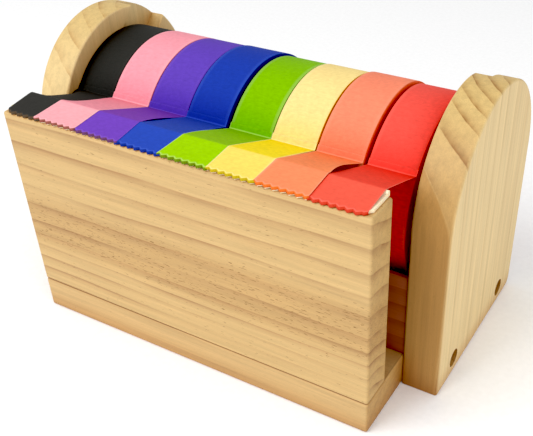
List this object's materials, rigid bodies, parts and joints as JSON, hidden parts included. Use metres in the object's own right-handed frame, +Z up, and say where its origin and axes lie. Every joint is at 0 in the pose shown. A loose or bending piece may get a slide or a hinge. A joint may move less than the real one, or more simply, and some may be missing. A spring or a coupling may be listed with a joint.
{
  "type": "tape dispenser",
  "caption": "Wooden desktop dispenser for several narrow tape rolls on one dowel, with a toothed cutter strip along its front board.",
  "frame": {"origin": "on the surface it stands on, under the middle of its width and depth", "axes": "+X to the right along the dowel, as seen by the user in front of it; +Y from the cutter strip to the open back; +Z up"},
  "size_m": [0.2442, 0.1463, 0.1456],
  "materials": {
    "pine": "sanded, unvarnished pine",
    "thin_pine": "sanded, unvarnished thin board",
    "dowel_wood": "sanded, unvarnished dowel",
    "strip_plastic": "moulded cream plastic, satin",
    "screw_steel": "zinc-plated steel",
    "core_board": "plain grey-brown paper core, matte",
    "black_crepe_paper": "crepe paper tape, matte",
    "pink_crepe_paper": "crepe paper tape, matte",
    "purple_crepe_paper": "crepe paper tape, matte",
    "blue_crepe_paper": "crepe paper tape, matte",
    "green_crepe_paper": "crepe paper tape, matte",
    "yellow_crepe_paper": "crepe paper tape, matte",
    "orange_crepe_paper": "crepe paper tape, matte",
    "red_crepe_paper": "crepe paper tape, matte"
  },
  "bodies": {
    "frame": {"base_board": "pine", "front_board": "pine", "left_side_panel": "pine", "right_side_panel": "pine", "retaining_panel": "thin_pine", "cutter_strip": "strip_plastic", "side_screws": "screw_steel", "base_screws": "screw_steel", "black_tape_tail": "black_crepe_paper", "pink_tape_tail": "pink_crepe_paper", "purple_tape_tail": "purple_crepe_paper", "blue_tape_tail": "blue_crepe_paper", "green_tape_tail": "green_crepe_paper", "yellow_tape_tail": "yellow_crepe_paper", "orange_tape_tail": "orange_crepe_paper", "red_tape_tail": "red_crepe_paper"},
    "axle": {"axle_dowel": "dowel_wood"},
    "black_roll": {"black_core": "core_board", "black_tape_roll": "black_crepe_paper"},
    "pink_roll": {"pink_core": "core_board", "pink_tape_roll": "pink_crepe_paper"},
    "purple_roll": {"purple_core": "core_board", "purple_tape_roll": "purple_crepe_paper"},
    "blue_roll": {"blue_core": "core_board", "blue_tape_roll": "blue_crepe_paper"},
    "green_roll": {"green_core": "core_board", "green_tape_roll": "green_crepe_paper"},
    "yellow_roll": {"yellow_core": "core_board", "yellow_tape_roll": "yellow_crepe_paper"},
    "orange_roll": {"orange_core": "core_board", "orange_tape_roll": "orange_crepe_paper"},
    "red_roll": {"red_core": "core_board", "red_tape_roll": "red_crepe_paper"}
  },
  "joints": [
    {"name": "axle_lift", "type": "slide", "parent": "frame", "child": "axle", "axis": [0, 0.6756, 0.7373], "range_m": [0, 0.06]},
    {"name": "black_spin", "type": "hinge", "parent": "axle", "child": "black_roll", "pos_m": [-0.0901, 0.0185, 0.086], "axis": [1, 0, 0], "continuous": true},
    {"name": "pink_spin", "type": "hinge", "parent": "axle", "child": "pink_roll", "pos_m": [-0.06545, 0.0185, 0.086], "axis": [1, 0, 0], "continuous": true},
    {"name": "purple_spin", "type": "hinge", "parent": "axle", "child": "purple_roll", "pos_m": [-0.0408, 0.0185, 0.086], "axis": [1, 0, 0], "continuous": true},
    {"name": "blue_spin", "type": "hinge", "parent": "axle", "child": "blue_roll", "pos_m": [-0.01615, 0.0185, 0.086], "axis": [1, 0, 0], "continuous": true},
    {"name": "green_spin", "type": "hinge", "parent": "axle", "child": "green_roll", "pos_m": [0.0097, 0.0185, 0.086], "axis": [1, 0, 0], "continuous": true},
    {"name": "yellow_spin", "type": "hinge", "parent": "axle", "child": "yellow_roll", "pos_m": [0.03435, 0.0185, 0.086], "axis": [1, 0, 0], "continuous": true},
    {"name": "orange_spin", "type": "hinge", "parent": "axle", "child": "orange_roll", "pos_m": [0.0599, 0.0185, 0.086], "axis": [1, 0, 0], "continuous": true},
    {"name": "red_spin", "type": "hinge", "parent": "axle", "child": "red_roll", "pos_m": [0.0862, 0.0185, 0.086], "axis": [1, 0, 0], "continuous": true}
  ]
}
